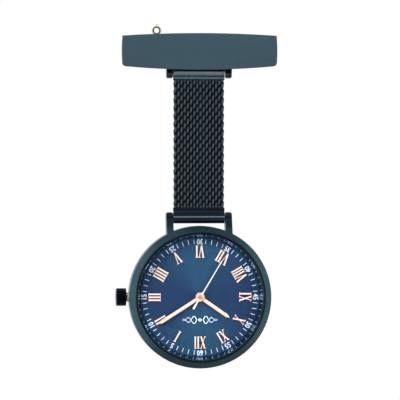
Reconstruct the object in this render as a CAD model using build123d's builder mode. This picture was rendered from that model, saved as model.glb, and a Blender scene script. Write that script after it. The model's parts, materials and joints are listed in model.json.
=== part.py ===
from build123d import *
import os
from math import cos, pi, radians, sin

# Nurse's fob watch: brooch bar with a safety-catch pin, woven steel strap and a quartz watch
# that hangs upside down. Millimetres. X is to the right, Z is up and the dial faces -Y.
# The origin is the centre of the case back's outer face, on the axis of the hands.
# "Depth" is the distance in front of the case back, so a depth of 5 lies at y = -5.

os.makedirs("parts", exist_ok=True)

# ---------------------------------------------------------------- driving dimensions
RUN_GAP = 0.045  # radial gap of a turning or sliding fit
SEAT_GAP = 0.005  # gap of a pressed or glued fit

case_radius = 16.5
case_bore = 14.3
case_back_thick = 0.95
case_front = 5.9
dial_seat_radius = 15.05
dial_back = 4.45
dial_front = 4.85
dial_radius = 15.0
bezel_front = 7.7
bezel_inner = 14.6
crystal_radius = 14.55
crystal_back = 6.5
crystal_front = 7.78

lug_inner = 6.05
lug_outer = 7.65
strap_half_width = 5.93
strap_y = -1.6
head_bar_z = 18.3
brooch_bar_z = 52.5
strap_tube_radius = 1.3
mesh_bottom = 20.7
mesh_top = 50.35
mesh_thick = 1.3
mesh_sections = 8
mesh_grip = 0.6

bar_half_length = 18.05
bar_back_y = -3.1
bar_edge_y = -4.6
bar_crown_y = -5.0
pin_z = 59.0
pin_y = -1.25
pin_radius = 0.35
hinge_x = 12.0
catch_x = -9.8
tab_height = 2.85

stem_depth = 2.9
crown_radius = 2.05
crown_inner_x = -17.05
crown_outer_x = -19.5

movement_radius = 10.2
plate_back = 3.35
plate_front = 3.85
bridge_back = 1.6
bridge_front = 1.95

# Gear train: tooth counts, modules and places seen from the front as (x, z).
train_module = 0.085
centre_module = train_module * (8 + 60) / (8 + 64)
seconds_module = 0.082
rotor_module = 0.075
motion_module = 0.1
third_angle = 50
fifth_angle = -60
rotor_angle = -15
third_distance = train_module * (8 + 60) / 2
fifth_distance = seconds_module * (12 + 60) / 2
rotor_distance = rotor_module * (10 + 60) / 2
third_x = third_distance * cos(radians(third_angle))
third_z = third_distance * sin(radians(third_angle))
fifth_x = fifth_distance * cos(radians(fifth_angle))
fifth_z = fifth_distance * sin(radians(fifth_angle))
rotor_x = fifth_x + rotor_distance * cos(radians(rotor_angle))
rotor_z = fifth_z + rotor_distance * sin(radians(rotor_angle))
minute_wheel_x = -motion_module * (10 + 30) / 2
setting_wheel_x = minute_wheel_x - motion_module * (30 + 24) / 2
battery_x = -3.94
battery_z = 5.04
battery_radius = 3.4
bridge_screws_at = ((-2.6, -4.3), (4.9, 0.0), (1.2, 5.75))
board_screw_at = (8.3, 2.0)
dial_feet_at = ((8.2, -4.6), (-8.2, 4.6))

# Time shown: angles clockwise from twelve o'clock, and twelve points down.
hour_angle = 304.8
minute_angle = 57.5
second_angle = 211.0


# ---------------------------------------------------------------- planes and small helpers
def front_plane(depth, x=0.0, z=0.0):
    """Plane at a depth in front of the case back, facing the viewer, with its y axis up."""
    return Plane(origin=(x, -depth, z), x_dir=(1, 0, 0), z_dir=(0, -1, 0))


def dial_plane(depth, angle, radius=0.0, turned=False):
    """Plane on the dial whose y axis points outward at a clock angle, or inward if turned."""
    out_x = -sin(radians(angle))
    out_z = -cos(radians(angle))
    flip = -1 if turned else 1
    return Plane(
        origin=(out_x * radius, -depth, out_z * radius),
        x_dir=(out_z * flip, 0, -out_x * flip),
        z_dir=(0, -1, 0),
    )


# Radius along x and depth along y, for profiles that turn about the axis of the hands.
turning_plane = Plane(origin=(0, 0, 0), x_dir=(1, 0, 0), z_dir=(0, 0, -1))


def disc(radius, start, end, x=0.0, z=0.0, mode=Mode.ADD):
    """Round disc, pin or hole between two depths, in the part being built."""
    with BuildSketch(front_plane(start, x, z)) as outline:
        Circle(radius)
    extrude(outline.sketch, amount=end - start, mode=mode)


def turned_ring(profile, mode=Mode.ADD):
    """Revolve a closed outline of (radius, depth) points about the axis of the hands."""
    with BuildSketch(turning_plane) as outline:
        Polygon(*profile, align=None)
    revolve(outline.sketch, axis=Axis.Y, mode=mode)


def cross_rod(radius, x_start, x_end, y, z, mode=Mode.ADD):
    """Round rod or hole along X."""
    with BuildSketch(Plane.YZ.offset(x_start)) as outline:
        with Locations((y, z)):
            Circle(radius)
    extrude(outline.sketch, amount=x_end - x_start, mode=mode)


def tooth_points(teeth, module, phase):
    """Outline of a wheel with slim straight-sided teeth, which leave a running gap in mesh."""
    pitch_radius = teeth * module / 2
    tip = pitch_radius + 0.75 * module
    root = pitch_radius - 1.15 * module
    root_half = 0.14 * pi * module / root
    tip_half = 0.07 * pi * module / tip
    points = []
    for tooth in range(teeth):
        middle = radians(phase) + 2 * pi * tooth / teeth
        points.append((root * cos(middle - root_half), root * sin(middle - root_half)))
        points.append((tip * cos(middle - tip_half), tip * sin(middle - tip_half)))
        points.append((tip * cos(middle + tip_half), tip * sin(middle + tip_half)))
        points.append((root * cos(middle + root_half), root * sin(middle + root_half)))
    return points


def toothed(teeth, module, start, end, x=0.0, z=0.0, phase=0.0):
    """Toothed disc between two depths, with one tooth at the phase angle in degrees."""
    with BuildSketch(front_plane(start, x, z)) as outline:
        Polygon(*tooth_points(teeth, module, phase), align=None)
    extrude(outline.sketch, amount=end - start)


# ---------------------------------------------------------------- brooch
bar_top_left, bar_top_right = (-17.9, 60.6), (17.9, 60.6)
bar_low_left, bar_low_right = (-17.9, 53.55), (17.9, 53.55)
with BuildPart() as brooch_bar:
    # Crowned section along the bar, then the curved outline cut through it.
    with BuildSketch(Plane.YZ.offset(-bar_half_length - 1)):
        with BuildLine():
            Polyline((bar_edge_y, 52), (bar_back_y, 52), (bar_back_y, 62), (bar_edge_y, 62))
            ThreePointArc((bar_edge_y, 62), (bar_crown_y, 57), (bar_edge_y, 52))
        make_face()
    extrude(amount=2 * bar_half_length + 2)
    with BuildSketch(front_plane(0)):
        with BuildLine():
            ThreePointArc(bar_top_left, (0, 61.2), bar_top_right)
            ThreePointArc(bar_top_right, (bar_half_length, 57.1), bar_low_right)
            ThreePointArc(bar_low_right, (0, 52.7), bar_low_left)
            ThreePointArc(bar_low_left, (-bar_half_length, 57.1), bar_top_left)
        outline = make_face()
        fillet(outline.vertices().group_by(Axis.Y)[0], radius=0.9)
    extrude(amount=8, mode=Mode.INTERSECT)
    fillet(brooch_bar.edges().filter_by_position(Axis.Y, -6, bar_edge_y + 0.5), radius=0.2)
brooch_bar.part.label = "brooch_bar"
export_step(brooch_bar.part, "parts/brooch_bar.step")

# Two lugs brazed to the back of the bar carry the strap's upper spring bar.
bar_lug_centre = 6.85
bar_lug_width = 1.5
with BuildPart() as bar_lugs:
    with BuildSketch(Plane.YZ.offset(-bar_lug_centre - 1)):
        with Locations((strap_y, brooch_bar_z - 0.3)):
            Circle(1.5)
        Polygon(
            (bar_back_y, brooch_bar_z - 0.3), (strap_y + 1.5, brooch_bar_z - 0.3),
            (strap_y, 57.0), (bar_back_y, 57.0), align=None,
        )
    extrude(amount=2 * bar_lug_centre + 2)
    # Rounded feet, seen from the front.
    with BuildSketch(front_plane(-2)):
        with Locations((-bar_lug_centre, brooch_bar_z + 2.2), (bar_lug_centre, brooch_bar_z + 2.2)):
            RectangleRounded(bar_lug_width, 8.0, 0.45)
    extrude(amount=8, mode=Mode.INTERSECT)
    for side in (-1, 1):
        hole_start = 6.0 if side > 0 else -7.0
        cross_rod(0.45, hole_start, hole_start + 1.0, strap_y, brooch_bar_z, Mode.SUBTRACT)
bar_lugs.part.label = "bar_lugs"
export_step(bar_lugs.part, "parts/bar_lugs.step")

strip_back = -2.6
with BuildPart() as pin_base_strip:
    with BuildSketch(Plane.XY.offset(pin_z - 1.1)):
        with Locations((0.65, (bar_back_y + strip_back) / 2)):
            Rectangle(25.1, strip_back - bar_back_y)
    extrude(amount=2.2)
    # Two folded ears hold the hinge rivet.
    for ear_z in (pin_z - 1.0, pin_z + 0.55):
        with BuildSketch(Plane.XY.offset(ear_z)):
            with Locations((hinge_x, pin_y)):
                Circle(1.05)
            with Locations((hinge_x, (strip_back + pin_y) / 2)):
                Rectangle(2.1, pin_y - strip_back)
            with Locations((hinge_x, pin_y)):
                Circle(0.405, mode=Mode.SUBTRACT)
        extrude(amount=0.45)
pin_base_strip.part.label = "pin_base_strip"
export_step(pin_base_strip.part, "parts/pin_base_strip.step")

with BuildPart() as pin_hinge_rivet:
    with BuildSketch(Plane.XY.offset(pin_z - 1.25)):
        with Locations((hinge_x, pin_y)):
            Circle(0.4)
    extrude(amount=2.5)
    for head_z in (pin_z - 1.25, pin_z + 1.005):
        with BuildSketch(Plane.XY.offset(head_z)):
            with Locations((hinge_x, pin_y)):
                Circle(0.7)
        extrude(amount=0.245)
    fillet(pin_hinge_rivet.faces().sort_by(Axis.Z)[-1].edges(), radius=0.15)
    fillet(pin_hinge_rivet.faces().sort_by(Axis.Z)[0].edges(), radius=0.15)
pin_hinge_rivet.part.label = "pin_hinge_rivet"
export_step(pin_hinge_rivet.part, "parts/pin_hinge_rivet.step")

pin_taper_x = -7.0
pin_point_x = -11.6
pin_tip_x = -13.0
with BuildPart() as brooch_pin:
    with BuildSketch(Plane.XY.offset(pin_z - 0.5)):
        with Locations((hinge_x, pin_y)):
            Circle(1.1)
    extrude(amount=1.0)
    cross_rod(pin_radius, pin_taper_x, hinge_x - 0.6, pin_y, pin_z)
    # The shank thins through the catch, then runs to a sharp point.
    for start_x, start_r, end_x, end_r in (
        (pin_taper_x, pin_radius, pin_point_x, 0.28), (pin_point_x, 0.28, pin_tip_x, 0.05),
    ):
        with BuildSketch(Plane.YZ.offset(start_x)):
            with Locations((pin_y, pin_z)):
                Circle(start_r)
        with BuildSketch(Plane.YZ.offset(end_x)):
            with Locations((pin_y, pin_z)):
                Circle(end_r)
        loft()
    with BuildSketch(Plane.XY.offset(pin_z - 1)):
        with Locations((hinge_x, pin_y)):
            Circle(0.4 + RUN_GAP)
    extrude(amount=2, mode=Mode.SUBTRACT)
brooch_pin.part.label = "brooch_pin"
export_step(brooch_pin.part, "parts/brooch_pin.step")

# Safety catch: a fixed C-shaped tube with a slotted drum inside that a ring-shaped tab turns.
drum_radius = 0.95
with BuildPart() as catch_housing:
    cross_rod(1.35, catch_x - 2.1, catch_x + 2.1, pin_y, pin_z)
    cross_rod(drum_radius + RUN_GAP, catch_x - 2.1, catch_x + 2.1, pin_y, pin_z, Mode.SUBTRACT)
    with BuildSketch(Plane.YZ.offset(catch_x - 2.2)):
        with Locations((pin_y + 1, pin_z)):
            Rectangle(2, 0.9)
    extrude(amount=4.4, mode=Mode.SUBTRACT)
    # Window that the tab swings in.
    with BuildSketch(Plane.YZ.offset(catch_x - 0.6)):
        with Locations((pin_y + 0.7, pin_z + 0.7)):
            Rectangle(2.6, 2.8)
    extrude(amount=1.2, mode=Mode.SUBTRACT)
catch_housing.part.label = "catch_housing"
export_step(catch_housing.part, "parts/catch_housing.step")

with BuildPart() as catch_rotor:
    cross_rod(drum_radius, catch_x - 2.5, catch_x + 2.5, pin_y, pin_z)
    for flange_x in (catch_x - 2.5, catch_x + 2.2):
        cross_rod(1.2, flange_x, flange_x + 0.3, pin_y, pin_z)
    with BuildSketch(front_plane(-pin_y - 0.25, catch_x, pin_z)):
        with Locations((0, tab_height / 2)):
            Rectangle(0.8, tab_height)
        with Locations((0, tab_height)):
            Circle(1.12)
        # Small knob on top of the ring.
        with Locations((0, tab_height + 1.2)):
            Circle(0.4)
        with Locations((0, tab_height)):
            Circle(0.62, mode=Mode.SUBTRACT)
    extrude(amount=0.5)
    cross_rod(0.45, catch_x - 2.6, catch_x + 2.6, pin_y, pin_z, Mode.SUBTRACT)
    with BuildSketch(Plane.YZ.offset(catch_x - 2.6)):
        with Locations((pin_y + 1, pin_z)):
            Rectangle(2, 0.8)
    extrude(amount=5.2, mode=Mode.SUBTRACT)
catch_rotor.part.label = "catch_rotor"
export_step(catch_rotor.part, "parts/catch_rotor.step")


# ---------------------------------------------------------------- strap and spring bars
def spring_bar_barrel(z):
    with BuildPart() as barrel:
        cross_rod(0.75, -5.2, 5.2, strap_y, z)
        cross_rod(0.5, -5.2, 5.2, strap_y, z, Mode.SUBTRACT)
    return barrel


def spring_bar_pins(z):
    """Two shouldered pins that slide in the barrel and spring out into the lugs."""
    with BuildPart() as pins:
        for side in (-1, 1):
            for radius, near, far in ((0.45, 3.2, 5.85), (0.7, 5.35, 5.6), (0.4, 5.6, 6.85)):
                cross_rod(radius, min(side * near, side * far), max(side * near, side * far),
                          strap_y, z)
    return pins


def spring_bar_spring(z):
    with BuildPart() as spring:
        with BuildLine():
            coil_path = Helix(pitch=0.5, height=6.0, radius=0.3, center=(-3.0, strap_y, z),
                              direction=(1, 0, 0))
        with BuildSketch(Plane(origin=coil_path @ 0, z_dir=coil_path % 0)):
            Circle(0.08)
        sweep()
    return spring


def end_clamp(z, towards_mesh, mesh_edge):
    """Rolled tube with two jaws that grip the mesh. towards_mesh is +1 up or -1 down."""
    with BuildPart() as clamp:
        cross_rod(strap_tube_radius, -strap_half_width, strap_half_width, strap_y, z)
        with BuildSketch(Plane.YZ.offset(-strap_half_width)):
            with Locations((strap_y, (z + mesh_edge) / 2)):
                Rectangle(1.9, abs(mesh_edge - z))
        extrude(amount=2 * strap_half_width)
        cross_rod(0.75 + 0.05, -strap_half_width, strap_half_width, strap_y, z, Mode.SUBTRACT)
        # Slot for the mesh, open towards it.
        with BuildSketch(Plane.YZ.offset(-strap_half_width)):
            with Locations((strap_y, mesh_edge - towards_mesh * (mesh_grip + 0.02) / 2)):
                Rectangle(mesh_thick + 0.02, mesh_grip + 0.02)
        extrude(amount=2 * strap_half_width, mode=Mode.SUBTRACT)
        crease = clamp.edges().filter_by(Axis.X).filter_by_position(Axis.Z, *sorted(
            (mesh_edge - 0.01, mesh_edge + 0.01))).group_by(Axis.Y)
        fillet(crease[0] + crease[-1], radius=0.25)
    return clamp


upper_spring_bar_barrel = spring_bar_barrel(brooch_bar_z)
upper_spring_bar_barrel.part.label = "upper_spring_bar_barrel"
export_step(upper_spring_bar_barrel.part, "parts/upper_spring_bar_barrel.step")

upper_spring_bar_pins = spring_bar_pins(brooch_bar_z)
upper_spring_bar_pins.part.label = "upper_spring_bar_pins"
export_step(upper_spring_bar_pins.part, "parts/upper_spring_bar_pins.step")

upper_spring_bar_spring = spring_bar_spring(brooch_bar_z)
upper_spring_bar_spring.part.label = "upper_spring_bar_spring"
export_step(upper_spring_bar_spring.part, "parts/upper_spring_bar_spring.step")

lower_spring_bar_barrel = spring_bar_barrel(head_bar_z)
lower_spring_bar_barrel.part.label = "lower_spring_bar_barrel"
export_step(lower_spring_bar_barrel.part, "parts/lower_spring_bar_barrel.step")

lower_spring_bar_pins = spring_bar_pins(head_bar_z)
lower_spring_bar_pins.part.label = "lower_spring_bar_pins"
export_step(lower_spring_bar_pins.part, "parts/lower_spring_bar_pins.step")

lower_spring_bar_spring = spring_bar_spring(head_bar_z)
lower_spring_bar_spring.part.label = "lower_spring_bar_spring"
export_step(lower_spring_bar_spring.part, "parts/lower_spring_bar_spring.step")

upper_end_clamp = end_clamp(brooch_bar_z, -1, mesh_top)
upper_end_clamp.part.label = "upper_end_clamp"
export_step(upper_end_clamp.part, "parts/upper_end_clamp.step")

lower_end_clamp = end_clamp(head_bar_z, 1, mesh_bottom)
lower_end_clamp.part.label = "lower_end_clamp"
export_step(lower_end_clamp.part, "parts/lower_end_clamp.step")

# The woven mesh is divided into sections that hinge on each other. Each section's lower edge is
# rounded about its hinge and turns in a hollow along the next section's upper edge.
section_length = (mesh_top - mesh_bottom) / mesh_sections
for section in range(1, mesh_sections + 1):
    top_z = mesh_top - section_length * (section - 1)
    low_z = top_z - section_length
    plate_top = top_z + mesh_grip if section == 1 else top_z
    plate_low = low_z - mesh_grip if section == mesh_sections else low_z
    with BuildPart() as mesh_section:
        with BuildSketch(Plane.YZ.offset(-strap_half_width)):
            with Locations((strap_y, (plate_top + plate_low) / 2)):
                Rectangle(mesh_thick, plate_top - plate_low)
            if section < mesh_sections:
                with Locations((strap_y, low_z)):
                    Circle(mesh_thick / 2)
            if section > 1:
                with Locations((strap_y, top_z)):
                    Circle(mesh_thick / 2 + RUN_GAP, mode=Mode.SUBTRACT)
        extrude(amount=2 * strap_half_width)
    mesh_section.part.label = f"mesh_section_{section}"
    export_step(mesh_section.part, f"parts/mesh_section_{section}.step")

# ---------------------------------------------------------------- case
lug_tip_radius = 1.35
lug_middle = (lug_inner + lug_outer) / 2
with BuildPart() as case_lugs:
    with BuildSketch(Plane.YZ.offset(-lug_outer)):
        with Locations((strap_y, head_bar_z)):
            Circle(lug_tip_radius)
        Polygon(
            (strap_y + lug_tip_radius, head_bar_z), (-1.1, 14.45), (-5.0, 14.45),
            (strap_y - lug_tip_radius, head_bar_z), align=None,
        )
    extrude(amount=2 * lug_outer)
    with BuildSketch(front_plane(-2)):
        with Locations((-lug_middle, 15.65), (lug_middle, 15.65)):
            RectangleRounded(lug_outer - lug_inner, 8.0, 0.5)
    extrude(amount=10, mode=Mode.INTERSECT)

gasket_inner = 15.1
gasket_outer = 15.5
with BuildPart() as mid_case:
    turned_ring([
        (case_bore, 2.0), (14.9, 2.0), (14.9, case_back_thick), (gasket_inner, case_back_thick),
        (gasket_inner, 1.35), (gasket_outer, 1.35), (gasket_outer, case_back_thick),
        (15.95, case_back_thick), (case_radius, 1.9), (case_radius, case_front),
        (dial_seat_radius, case_front), (dial_seat_radius, dial_back), (case_bore, dial_back),
    ])
    add(case_lugs.part)
    for side in (-1, 1):
        hole_start = lug_inner - 0.1 if side > 0 else -lug_inner - 0.95
        cross_rod(0.45, hole_start, hole_start + 1.05, strap_y, head_bar_z, Mode.SUBTRACT)
    # Hole for the crown tube.
    cross_rod(1.05 + SEAT_GAP, -case_radius - 1, -case_bore + 1, -stem_depth, 0, Mode.SUBTRACT)
mid_case.part.label = "mid_case"
export_step(mid_case.part, "parts/mid_case.step")

with BuildPart() as case_back:
    turned_ring([
        (0, 0), (14.6, 0), (15.75, 0.45), (15.75, case_back_thick - SEAT_GAP),
        (14.85, case_back_thick - SEAT_GAP), (14.85, 1.9), (14.4, 1.9),
        (14.4, case_back_thick), (0, case_back_thick),
    ])
case_back.part.label = "case_back"
export_step(case_back.part, "parts/case_back.step")

with BuildPart() as case_back_gasket:
    turned_ring([
        (gasket_inner + 0.02, case_back_thick), (gasket_outer - 0.02, case_back_thick),
        (gasket_outer - 0.02, 1.34), (gasket_inner + 0.02, 1.34),
    ])
case_back_gasket.part.label = "case_back_gasket"
export_step(case_back_gasket.part, "parts/case_back_gasket.step")

with BuildPart() as bezel:
    turned_ring([
        (14.97, case_front + SEAT_GAP), (case_radius, case_front + SEAT_GAP), (case_radius, 6.25),
        (15.3, 7.55), (15.05, bezel_front), (bezel_inner + 0.12, bezel_front), (bezel_inner, 7.58),
        (bezel_inner, 7.3), (14.97, 7.3),
    ])
bezel.part.label = "bezel"
export_step(bezel.part, "parts/bezel.step")

with BuildPart() as crystal:
    turned_ring([
        (0, crystal_back), (crystal_radius, crystal_back), (crystal_radius, crystal_front - 0.15),
        (crystal_radius - 0.15, crystal_front), (0, crystal_front),
    ])
crystal.part.label = "crystal"
export_step(crystal.part, "parts/crystal.step")

with BuildPart() as crystal_gasket:
    turned_ring([
        (crystal_radius + SEAT_GAP, crystal_back), (14.96, crystal_back), (14.96, 7.28),
        (crystal_radius + SEAT_GAP, 7.28),
    ])
crystal_gasket.part.label = "crystal_gasket"
export_step(crystal_gasket.part, "parts/crystal_gasket.step")

with BuildPart() as rehaut_ring:
    turned_ring([
        (13.8, dial_front + SEAT_GAP), (14.95, dial_front + SEAT_GAP),
        (14.95, crystal_back - 0.02), (14.5, crystal_back - 0.02),
    ])
rehaut_ring.part.label = "rehaut_ring"
export_step(rehaut_ring.part, "parts/rehaut_ring.step")

# ---------------------------------------------------------------- crown and stem
tube_outer_x = -18.3
tube_inner_x = -14.6
with BuildPart() as crown_tube:
    cross_rod(1.05, tube_outer_x, tube_inner_x, -stem_depth, 0)
    cross_rod(0.7, tube_outer_x, tube_inner_x, -stem_depth, 0, Mode.SUBTRACT)
crown_tube.part.label = "crown_tube"
export_step(crown_tube.part, "parts/crown_tube.step")

# The gasket stays on the tube when the crown is pulled out.
gasket_start_x = -17.5
gasket_end_x = -17.2
gasket_radius = 1.34
with BuildPart() as crown_gasket:
    cross_rod(gasket_radius, gasket_start_x, gasket_end_x, -stem_depth, 0)
    cross_rod(1.05 + RUN_GAP, gasket_start_x, gasket_end_x, -stem_depth, 0, Mode.SUBTRACT)
crown_gasket.part.label = "crown_gasket"
export_step(crown_gasket.part, "parts/crown_gasket.step")

crown_flutes = 26
crown_dome_radius = 13.5
stem_end_x = -19.1
with BuildPart() as crown:
    with BuildSketch(Plane.YZ.offset(crown_outer_x)):
        with Locations((-stem_depth, 0)):
            Circle(crown_radius)
            with PolarLocations(crown_radius + 0.03, crown_flutes):
                Circle(0.13, mode=Mode.SUBTRACT)
    extrude(amount=crown_inner_x - crown_outer_x)
    # Bevels around both ends, then the shallow dome of the outer end.
    with BuildSketch(Plane(origin=(0, -stem_depth, 0), x_dir=(1, 0, 0), z_dir=(0, -1, 0))):
        Polygon(
            (crown_inner_x, 0), (crown_inner_x, crown_radius - 0.17),
            (crown_inner_x - 0.14, crown_radius + 0.1),
            (crown_outer_x + 0.3, crown_radius + 0.1),
            (crown_outer_x - 0.1, crown_radius - 0.68), (crown_outer_x - 0.1, 0), align=None,
        )
    revolve(axis=Axis((0, -stem_depth, 0), (1, 0, 0)), mode=Mode.INTERSECT)
    with Locations((crown_outer_x + crown_dome_radius - 0.01, -stem_depth, 0)):
        Sphere(crown_dome_radius, mode=Mode.INTERSECT)
    # Bore over the tube, the gasket's groove and the hole for the stem.
    cross_rod(1.15, tube_outer_x - 0.2, crown_inner_x, -stem_depth, 0, Mode.SUBTRACT)
    cross_rod(gasket_radius + RUN_GAP, gasket_start_x - RUN_GAP, gasket_end_x + RUN_GAP,
              -stem_depth, 0, Mode.SUBTRACT)
    cross_rod(0.4 + SEAT_GAP, stem_end_x, tube_outer_x, -stem_depth, 0, Mode.SUBTRACT)
crown.part.label = "crown"
export_step(crown.part, "parts/crown.step")

stem_groove_x = -6.85
with BuildPart() as setting_stem:
    cross_rod(0.4, stem_end_x, -2.85, -stem_depth, 0)
    # Groove for the setting lever's peg.
    cross_rod(0.6, stem_groove_x - 0.27, stem_groove_x + 0.27, -stem_depth, 0, Mode.SUBTRACT)
    cross_rod(0.22, stem_groove_x - 0.3, stem_groove_x + 0.3, -stem_depth, 0)
setting_stem.part.label = "setting_stem"
export_step(setting_stem.part, "parts/setting_stem.step")

# Pinion on the end of the stem, which reaches the setting wheel when the crown is pulled out.
with BuildPart() as stem_pinion:
    with BuildSketch(Plane.YZ.offset(-3.35)):
        with Locations((-stem_depth, 0)):
            Polygon(*tooth_points(14, 0.11, 0), align=None)
            Circle(0.4 + SEAT_GAP, mode=Mode.SUBTRACT)
    extrude(amount=0.5)
stem_pinion.part.label = "stem_pinion"
export_step(stem_pinion.part, "parts/stem_pinion.step")

lever_pivot_x = stem_groove_x - 0.4
lever_pivot_z = -2.4
with BuildPart() as setting_lever:
    with BuildSketch(front_plane(2.05)):
        with Locations((lever_pivot_x, lever_pivot_z)):
            Circle(0.75)
        Polygon(
            (lever_pivot_x - 0.55, lever_pivot_z), (lever_pivot_x + 0.55, lever_pivot_z),
            (stem_groove_x + 0.35, 0.2), (stem_groove_x - 0.35, 0.2), align=None,
        )
        with Locations((stem_groove_x, 0.1)):
            Circle(0.38)
        with Locations((lever_pivot_x, lever_pivot_z)):
            Circle(0.3 + RUN_GAP, mode=Mode.SUBTRACT)
    extrude(amount=0.25)
    disc(0.15, 2.25, 2.6, stem_groove_x, 0)
setting_lever.part.label = "setting_lever"
export_step(setting_lever.part, "parts/setting_lever.step")

# ---------------------------------------------------------------- movement plates
with BuildPart() as movement_holder:
    turned_ring([
        (movement_radius + 0.05, 1.3), (case_bore - 0.05, 1.3), (case_bore - 0.05, 4.4),
        (movement_radius + 0.05, 4.4),
    ])
    # Channel for the stem and pockets that save plastic.
    with BuildSketch(front_plane(1.0)):
        with Locations((-12.3, 0)):
            Rectangle(4.6, 2.3)
        with Locations((0, 0)):
            with PolarLocations(12.3, 8, start_angle=22.5):
                Rectangle(2.0, 5.0)
    extrude(amount=3.0, mode=Mode.SUBTRACT)
movement_holder.part.label = "movement_holder"
export_step(movement_holder.part, "parts/movement_holder.step")

pivot_radius = 0.1
pivot_places = ((third_x, third_z), (fifth_x, fifth_z), (rotor_x, rotor_z))
with BuildPart() as main_plate:
    disc(movement_radius, plate_back, plate_front)
    # Pillars carry the train bridge and the circuit board.
    for pillar_x, pillar_z in bridge_screws_at:
        disc(0.7, bridge_front, plate_back, pillar_x, pillar_z)
    disc(0.7, 2.25, plate_back, *board_screw_at)
    # Posts for the setting lever, the minute wheel and the setting wheel.
    disc(0.3, 1.95, plate_back, lever_pivot_x, lever_pivot_z)
    disc(0.45, 2.35, plate_back, lever_pivot_x, lever_pivot_z)
    disc(0.15, plate_front, 4.4, minute_wheel_x, 0)
    disc(0.15, plate_front, 4.3, setting_wheel_x, 0)
    disc(0.36 + RUN_GAP, plate_back, plate_front, mode=Mode.SUBTRACT)
    for pivot_x, pivot_z in pivot_places:
        disc(pivot_radius + RUN_GAP, plate_back, plate_front, pivot_x, pivot_z, Mode.SUBTRACT)
    for screw_x, screw_z in bridge_screws_at + (board_screw_at,):
        disc(0.305, 1.0, plate_front, screw_x, screw_z, Mode.SUBTRACT)
    for foot_x, foot_z in dial_feet_at:
        disc(0.37, plate_back, plate_front, foot_x, foot_z, Mode.SUBTRACT)
    # Opening for the stem pinion.
    with BuildSketch(front_plane(plate_back)):
        with Locations((-3.53, 0)):
            Rectangle(1.4, 2.1)
    extrude(amount=plate_front - plate_back, mode=Mode.SUBTRACT)
main_plate.part.label = "main_plate"
export_step(main_plate.part, "parts/main_plate.step")

with BuildPart() as train_bridge:
    with BuildSketch(front_plane(bridge_back)):
        with BuildLine():
            Polyline(
                (-3.3, -5.0), (-0.6, -5.3), (4.6, -4.6), (5.6, -2.8), (5.7, 0.7), (3.6, 4.0),
                (1.9, 6.5), (0.4, 6.4), (-0.2, 3.4), (-1.5, 0.9), (-3.4, -3.6), close=True,
            )
        bridge_outline = make_face()
        fillet(bridge_outline.vertices(), radius=0.4)
    extrude(amount=bridge_front - bridge_back)
    disc(pivot_radius + RUN_GAP, bridge_back, bridge_front, mode=Mode.SUBTRACT)
    for pivot_x, pivot_z in pivot_places:
        disc(pivot_radius + RUN_GAP, bridge_back, bridge_front, pivot_x, pivot_z, Mode.SUBTRACT)
    for screw_x, screw_z in bridge_screws_at:
        disc(0.34, bridge_back, bridge_front, screw_x, screw_z, Mode.SUBTRACT)
train_bridge.part.label = "train_bridge"
export_step(train_bridge.part, "parts/train_bridge.step")

with BuildPart() as movement_screws:
    for screw_x, screw_z in bridge_screws_at:
        disc(0.6, 1.25, bridge_back, screw_x, screw_z)
        disc(0.3, bridge_back, 3.6, screw_x, screw_z)
    disc(0.6, 1.55, 1.9, *board_screw_at)
    disc(0.3, 1.9, 3.6, *board_screw_at)
    # Screwdriver slots.
    with BuildSketch(front_plane(1.0)):
        with Locations(*bridge_screws_at):
            Rectangle(1.3, 0.18)
    extrude(amount=0.4, mode=Mode.SUBTRACT)
movement_screws.part.label = "movement_screws"
export_step(movement_screws.part, "parts/movement_screws.step")

with BuildPart() as circuit_board:
    with BuildSketch(front_plane(1.9)):
        with BuildLine():
            Polyline((5.9, -0.9), (9.6, -0.9), (9.4, 3.0), (7.0, 6.6), (5.0, 6.9), (5.9, 3.0),
                     close=True)
        board_outline = make_face()
        fillet(board_outline.vertices(), radius=0.3)
    extrude(amount=0.35)
    disc(0.34, 1.9, 2.25, *board_screw_at, Mode.SUBTRACT)
    # Sealed chip on the board.
    with BuildSketch(front_plane(1.35)):
        with Locations((6.9, 3.9)):
            RectangleRounded(1.9, 1.9, 0.3)
    extrude(amount=0.55)
circuit_board.part.label = "circuit_board"
export_step(circuit_board.part, "parts/circuit_board.step")

can_radius = 0.75
with BuildPart() as quartz_can:
    cross_rod(can_radius, 6.2, 9.4, -2.5, -2.1)
    fillet(quartz_can.edges().filter_by(GeomType.CIRCLE), radius=0.15)
quartz_can.part.label = "quartz_can"
export_step(quartz_can.part, "parts/quartz_can.step")

with BuildPart() as battery:
    disc(battery_radius, 1.25, 3.1, battery_x, battery_z)
    disc(battery_radius - 0.45, 3.1, plate_back, battery_x, battery_z)
    fillet(battery.faces().sort_by(Axis.Y)[-1].edges(), radius=0.2)
battery.part.label = "battery"
export_step(battery.part, "parts/battery.step")

with BuildPart() as battery_clip:
    with BuildSketch(front_plane(1.1)):
        with Locations((battery_x, battery_z)):
            Circle(1.6)
            with Locations((0, 0)):
                Circle(0.9, mode=Mode.SUBTRACT)
        with Locations((battery_x + 2.9, battery_z + 0.5)):
            Rectangle(3.4, 0.9, rotation=8)
    extrude(amount=0.14)
    # Foot that drops beside the battery to the main plate.
    with BuildSketch(front_plane(1.1)):
        with Locations((0.05, battery_z + 0.85)):
            Rectangle(0.5, 0.8)
    extrude(amount=plate_back - 1.1)
battery_clip.part.label = "battery_clip"
export_step(battery_clip.part, "parts/battery_clip.step")

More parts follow.
